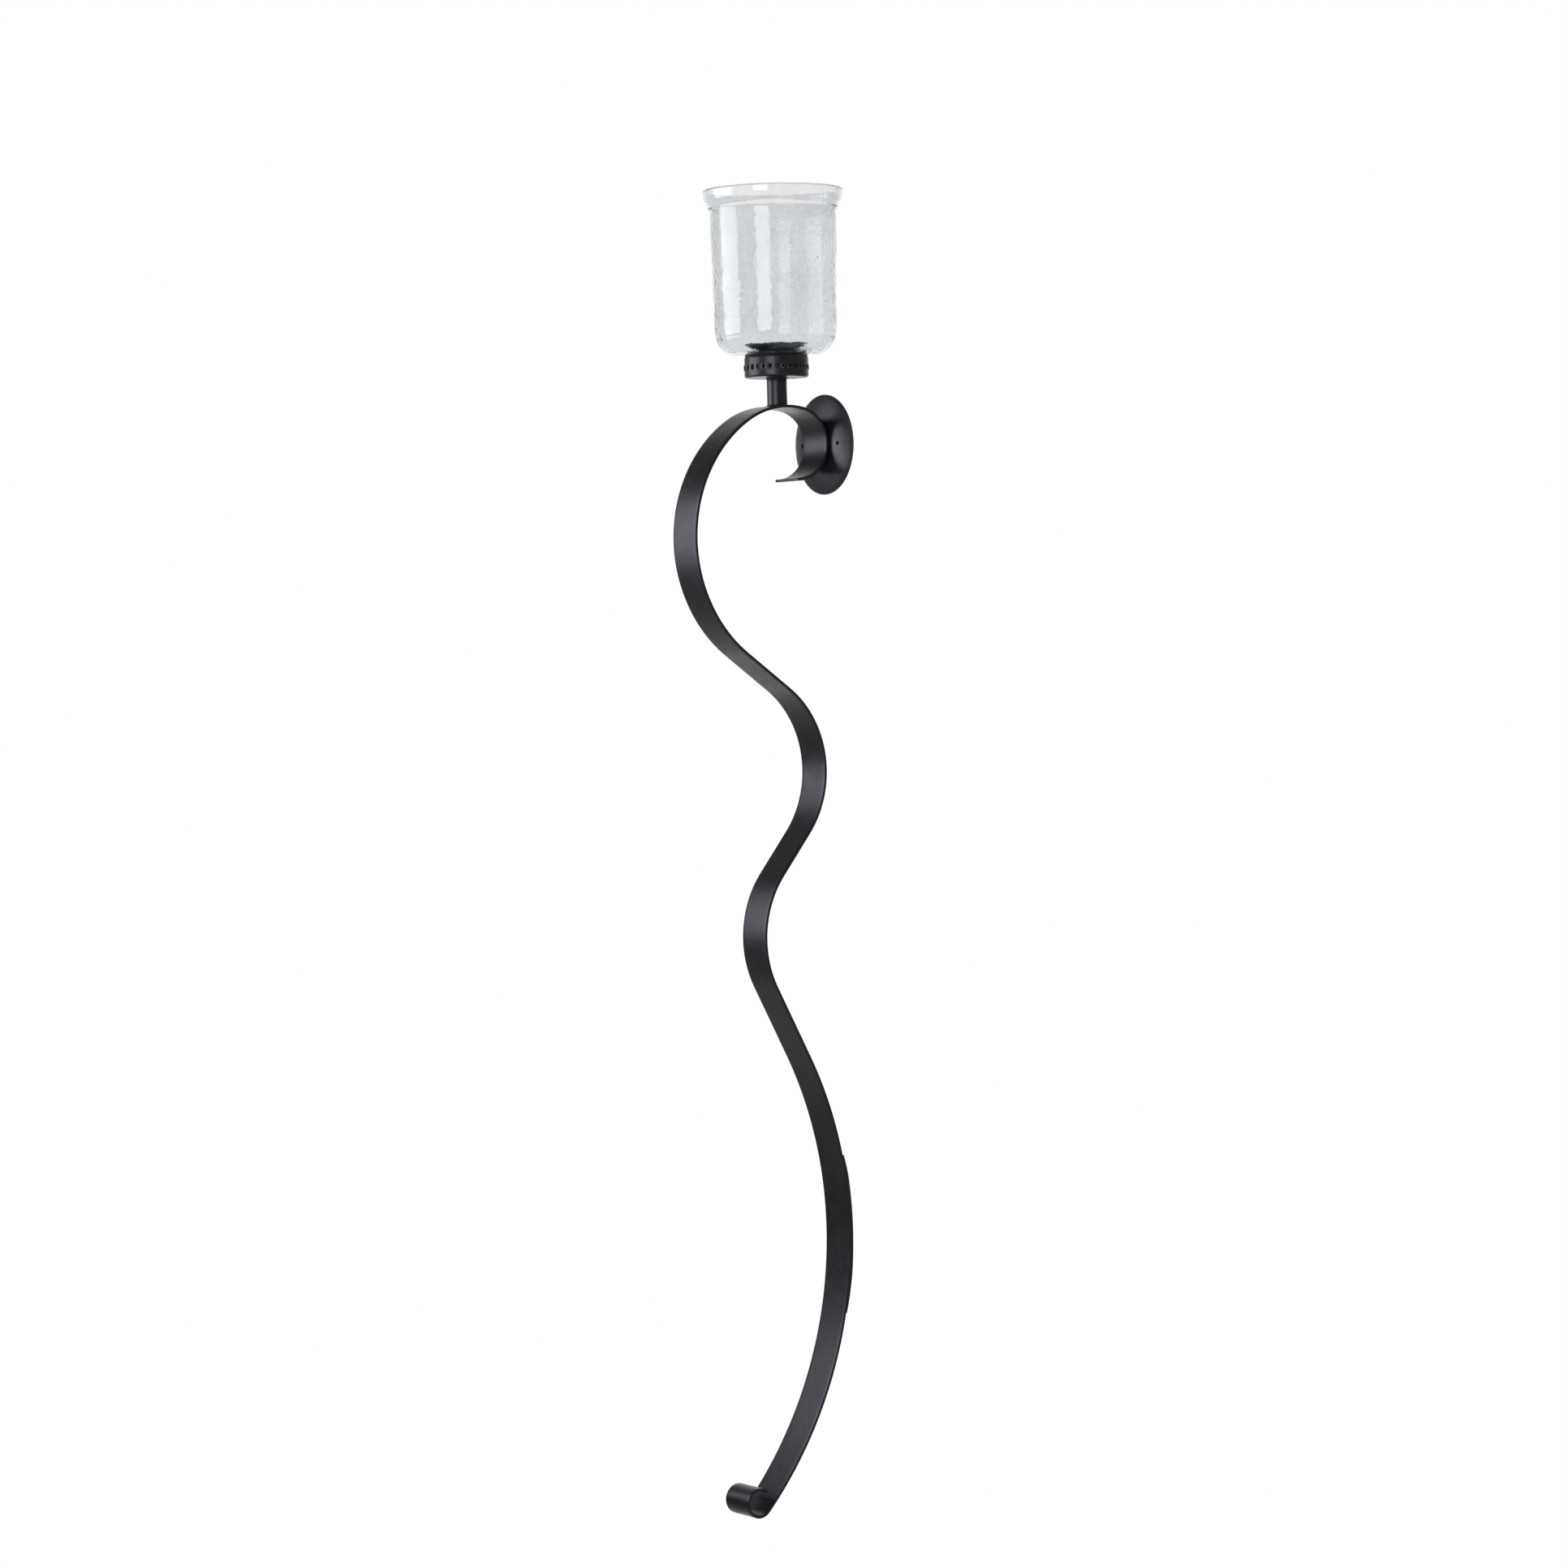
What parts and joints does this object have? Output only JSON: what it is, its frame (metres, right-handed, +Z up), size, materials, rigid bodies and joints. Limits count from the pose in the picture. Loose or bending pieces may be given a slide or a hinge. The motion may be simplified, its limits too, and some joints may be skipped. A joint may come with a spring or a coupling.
{
  "type": "wall sconce candle holder",
  "caption": "Tall wall sconce: a flat bar bent into a wave from a domed wall plate down to a rolled eye, with a pierced cup and a flared hurricane glass on its crest.",
  "frame": {"origin": "centre of the wall plate's back, on the wall plane", "axes": "+Z up along the strap; +Y into the wall, so the sconce stands out towards -Y; +X across the strap's width"},
  "size_m": [0.1124, 0.1475, 1.0518],
  "materials": {
    "black_coat": "satin black powder coat over mild steel, slightly uneven",
    "steel": "zinc-plated",
    "felt": "dense black felt",
    "rubber": "matt black",
    "seeded_glass": "clear blown glass with a faint grey-blue tint, small seeds and slightly wavy walls"
  },
  "bodies": {
    "bracket": {"scroll_arm": "black_coat", "wall_plate": "black_coat", "plate_welds": "black_coat", "stem_tube": "black_coat", "stem_foot_weld": "black_coat", "stem_head_weld": "black_coat", "stem_nut": "steel", "pierced_cup": "black_coat", "wall_pad": "felt"},
    "glass": {"hurricane_glass": "seeded_glass", "glass_gasket": "felt"},
    "pan": {"candle_pan": "black_coat", "pan_gasket": "rubber"},
    "washer": {"spring_washer": "steel"},
    "screw": {"clamp_screw": "steel"}
  },
  "joints": [
    {"name": "glass_lift", "type": "slide", "parent": "bracket", "child": "glass", "axis": [0, 0, 1], "range_m": [0, 0.03]},
    {"name": "pan_lift", "type": "slide", "parent": "glass", "child": "pan", "axis": [0, 0, 1], "range_m": [0, 0.165]},
    {"name": "screw_out", "type": "slide", "parent": "pan", "child": "washer", "axis": [0, 0, 1], "range_m": [0, 0.01]},
    {"name": "screw_turn", "type": "hinge", "parent": "washer", "child": "screw", "pos_m": [0, -0.04545, 0.07472], "axis": [0, 0, 1], "range_deg": [0, 4500]}
  ],
  "couplings": [
    {"joint": "screw_turn", "follows": "screw_out", "rad_per_m": 7854}
  ]
}
